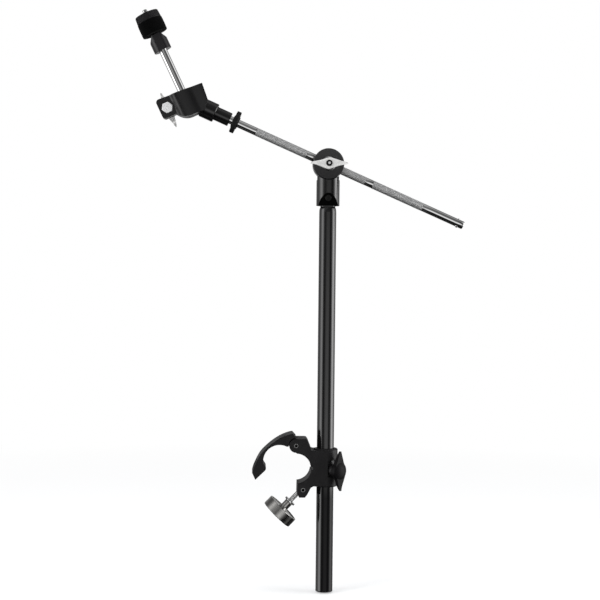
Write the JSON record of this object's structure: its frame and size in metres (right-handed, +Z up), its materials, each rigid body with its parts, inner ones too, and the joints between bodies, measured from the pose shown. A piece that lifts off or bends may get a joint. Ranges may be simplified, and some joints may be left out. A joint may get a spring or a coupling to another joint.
{
  "type": "cymbal boom stand",
  "caption": "Rack-mounted cymbal boom stand: a hinged rack clamp holds a vertical tube with a tilting, sliding boom rod and a cymbal tilter.",
  "frame": {"origin": "centre of the rack clamp's seat, on the rack tube's axis", "axes": "+X to the right, from the seat to the vertical tube; +Y to the rear, along the rack tube; +Z up, along the vertical tube"},
  "size_m": [0.4272, 0.0527, 0.7494],
  "materials": {
    "clamp_nylon": "black glass-filled nylon, fine moulded texture",
    "handle_nylon": "black moulded nylon",
    "liner_nylon": "smooth black nylon",
    "pin_steel": "plain steel roll pin",
    "zinc_steel": "zinc-plated steel",
    "knob_steel": "turned steel, dark satin",
    "tube_black": "gloss black powder coat",
    "cap_plastic": "black plastic",
    "base_black": "gloss black paint on die-cast zinc",
    "screw_black": "black oxide steel",
    "disc_dark": "satin dark grey coating",
    "friction_fibre": "pressed fibre",
    "wing_nickel": "satin nickel plate on a cast wing nut",
    "bolt_steel": "bright zinc-plated steel",
    "rod_chrome": "chrome plate, knurled and polished lengths",
    "post_chrome": "polished chrome",
    "ring_rubber": "matte black rubber",
    "socket_black": "gloss black paint on steel",
    "block_black": "semi-gloss black paint on die-cast zinc",
    "sleeve_plastic": "gloss black nylon",
    "felt_black": "dense black wool felt",
    "cap_nut_plastic": "dark grey plastic with a diamond knurl"
  },
  "bodies": {
    "clamp": {"clamp_body": "clamp_nylon", "jaw_pin": "pin_steel", "bolt_pin": "pin_steel", "collar_nut": "zinc_steel"},
    "jaw": {"clamp_jaw": "clamp_nylon"},
    "bolt": {"swing_bolt": "zinc_steel"},
    "knob_washer": {"knob_washer": "zinc_steel"},
    "knob": {"clamp_knob": "knob_steel"},
    "shoe": {"pressure_shoe": "zinc_steel"},
    "wing_bolt": {"collar_stud": "zinc_steel", "collar_wing": "handle_nylon"},
    "liner": {"tube_liner": "liner_nylon"},
    "tube": {"boom_tube": "tube_black", "tube_end_cap": "cap_plastic", "tube_plug": "zinc_steel", "tilter_base": "base_black", "base_screw": "screw_black", "friction_disc": "friction_fibre"},
    "boom_clamp": {"rod_clamp_front": "disc_dark", "rod_clamp_rear": "disc_dark", "head_bolt": "bolt_steel"},
    "boom_washer": {"boom_washer": "bolt_steel"},
    "boom_nut": {"boom_wing_nut": "wing_nickel"},
    "boom": {"boom_rod": "rod_chrome", "rod_stop_pin": "pin_steel"},
    "ring": {"stop_ring": "ring_rubber"},
    "socket": {"boom_socket": "socket_black", "socket_screw": "screw_black"},
    "tilter": {"tilter_front_half": "block_black", "tilter_rear_half": "block_black", "tilter_pivot_pin": "pin_steel", "tilter_bolt": "bolt_steel", "cymbal_rod": "post_chrome", "cymbal_sleeve": "sleeve_plastic", "cymbal_felt": "felt_black"},
    "tilter_washer": {"tilter_washer": "bolt_steel"},
    "tilter_nut": {"tilter_wing_nut": "wing_nickel"},
    "felt_washer": {"felt_washer": "zinc_steel"},
    "cap_nut": {"cap_nut": "cap_nut_plastic"}
  },
  "joints": [
    {"name": "jaw_swing", "type": "hinge", "parent": "clamp", "child": "jaw", "pos_m": [-0.0001, 0, 0.0292], "axis": [0, -1, 0], "range_deg": [0, 47]},
    {"name": "bolt_swing", "type": "hinge", "parent": "clamp", "child": "bolt", "pos_m": [0.0092, 0, -0.0276], "axis": [0, 1, 0], "range_deg": [-20, 46]},
    {"name": "knob_travel", "type": "slide", "parent": "bolt", "child": "knob_washer", "axis": [-0.6947, 0, -0.7193], "range_m": [0, 0.005]},
    {"name": "knob_turn", "type": "hinge", "parent": "knob_washer", "child": "knob", "pos_m": [-0.01859, 0, -0.05637], "axis": [-0.6947, 0, -0.7193], "range_deg": [0, 1800]},
    {"name": "shoe_travel", "type": "slide", "parent": "clamp", "child": "shoe", "axis": [0.7071, -0.7071, 0], "range_m": [0, 0.0015]},
    {"name": "wing_bolt_turn", "type": "hinge", "parent": "shoe", "child": "wing_bolt", "pos_m": [0.05517, -0.01697, -0.003], "axis": [0.7071, -0.7071, 0], "range_deg": [0, 540]},
    {"name": "tube_swivel", "type": "hinge", "parent": "clamp", "child": "liner", "pos_m": [0.0382, 0, 0], "axis": [0, 0, 1], "continuous": true},
    {"name": "tube_height", "type": "slide", "parent": "liner", "child": "tube", "axis": [0, 0, 1], "range_m": [-0.25, 0.12]},
    {"name": "boom_tilt", "type": "hinge", "parent": "tube", "child": "boom_clamp", "pos_m": [0.0382, 0, 0.3916], "axis": [0, 1, 0], "range_deg": [-65, 18]},
    {"name": "boom_washer_travel", "type": "slide", "parent": "boom_clamp", "child": "boom_washer", "axis": [0, -1, 0], "range_m": [0, 0.0025]},
    {"name": "boom_nut_turn", "type": "hinge", "parent": "boom_washer", "child": "boom_nut", "pos_m": [0.0382, -0.02, 0.3916], "axis": [0, -1, 0], "range_deg": [0, 720]},
    {"name": "boom_slide", "type": "slide", "parent": "boom_clamp", "child": "boom", "axis": [0.916, 0, -0.4011], "range_m": [-0.155, 0.105]},
    {"name": "ring_slide", "type": "slide", "parent": "boom", "child": "ring", "axis": [-0.916, 0, 0.4011], "range_m": [-0.1, 0.003]},
    {"name": "socket_roll", "type": "hinge", "parent": "boom", "child": "socket", "pos_m": [-0.10836, 0, 0.45578], "axis": [0.916, 0, -0.4011], "range_deg": [-90, 90]},
    {"name": "cymbal_tilt", "type": "hinge", "parent": "socket", "child": "tilter", "pos_m": [-0.14592, 0, 0.47223], "axis": [0, 1, 0], "range_deg": [-40, 25]},
    {"name": "tilter_washer_travel", "type": "slide", "parent": "tilter", "child": "tilter_washer", "axis": [0, 1, 0], "range_m": [0, 0.0025]},
    {"name": "tilter_nut_turn", "type": "hinge", "parent": "tilter_washer", "child": "tilter_nut", "pos_m": [-0.16931, 0.01, 0.46112], "axis": [0, 1, 0], "range_deg": [0, 720]},
    {"name": "felt_washer_travel", "type": "slide", "parent": "tilter", "child": "felt_washer", "axis": [-0.4289, 0, 0.9033], "range_m": [0, 0.003]},
    {"name": "cap_nut_turn", "type": "hinge", "parent": "felt_washer", "child": "cap_nut", "pos_m": [-0.19567, 0, 0.57702], "axis": [-0.4289, 0, 0.9033], "range_deg": [0, 1080]}
  ],
  "couplings": [
    {"joint": "knob_turn", "follows": "knob_travel", "rad_per_m": 6283.2},
    {"joint": "wing_bolt_turn", "follows": "shoe_travel", "rad_per_m": 6283.2},
    {"joint": "boom_nut_turn", "follows": "boom_washer_travel", "rad_per_m": 5026.5},
    {"joint": "tilter_nut_turn", "follows": "tilter_washer_travel", "rad_per_m": 5026.5},
    {"joint": "cap_nut_turn", "follows": "felt_washer_travel", "rad_per_m": 6283.2}
  ]
}
